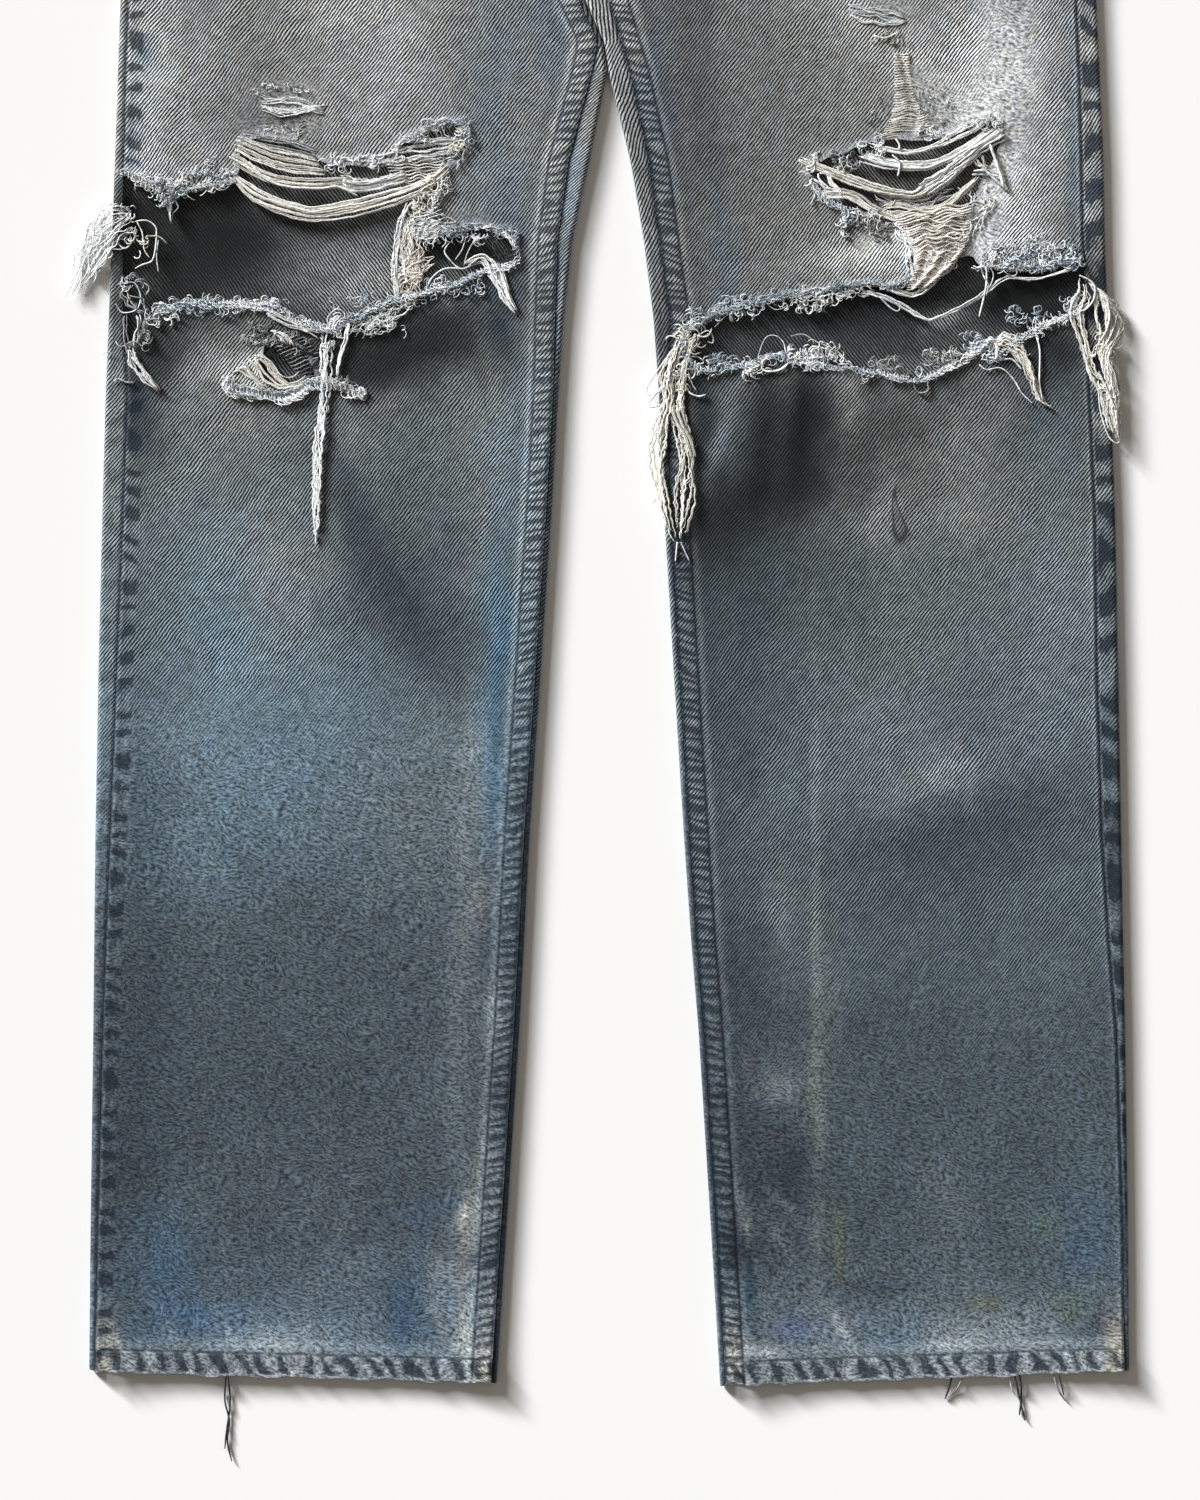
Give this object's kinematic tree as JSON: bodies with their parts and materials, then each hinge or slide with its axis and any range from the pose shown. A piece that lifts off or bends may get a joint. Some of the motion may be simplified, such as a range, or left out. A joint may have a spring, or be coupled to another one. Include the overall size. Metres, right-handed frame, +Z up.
{
  "type": "ripped jeans laid flat",
  "caption": "Washed straight-leg jeans laid flat, front up, with torn knees, hanging weft yarn, worn seams and frayed hems.",
  "frame": {"origin": "middle of the whole outline on the surface that the jeans lie on", "axes": "+Y from the hems to the waist, +Z up out of the front, +X towards the wearer's left leg"},
  "size_m": [0.5946, 1.1331, 0.0116],
  "materials": {
    "denim": "washed right-hand twill, matt, worn grey on the thighs and blue at the seams",
    "cotton_yarn": "soft undyed cotton weft",
    "hem_thread": "dark frayed warp",
    "zip_tape": "woven tape",
    "button_metal": "worn, plain"
  },
  "bodies": {
    "root": {"back_panel_right": "denim", "back_panel_left": "denim", "back_yoke_right": "denim", "back_yoke_left": "denim", "back_pocket_right": "denim", "back_pocket_left": "denim", "front_panel_right": "denim", "front_panel_left": "denim", "pocket_facing_right": "denim", "pocket_facing_left": "denim", "fly": "denim", "waistband": "denim", "belt_loop_front_right": "denim", "belt_loop_front_left": "denim", "belt_loop_back_right": "denim", "belt_loop_back_left": "denim", "belt_loop_back_centre": "denim", "zip": "zip_tape", "waist_button": "button_metal", "yarn_ladder_right": "cotton_yarn", "yarn_column_right": "cotton_yarn", "yarn_tuft_outer_right": "cotton_yarn", "yarn_tuft_inner_right": "cotton_yarn", "yarn_knot_right": "cotton_yarn", "yarn_tuft_low_right": "cotton_yarn", "yarn_patch_right": "cotton_yarn", "yarn_ladder_left": "cotton_yarn", "yarn_column_left": "cotton_yarn", "yarn_bundle_inner_left": "cotton_yarn", "yarn_bundle_outer_left": "cotton_yarn", "yarn_tuft_left": "cotton_yarn", "hem_thread_right": "hem_thread", "hem_thread_left_a": "hem_thread", "hem_thread_left_b": "hem_thread", "hem_thread_left_c": "hem_thread"}
  },
  "joints": []
}
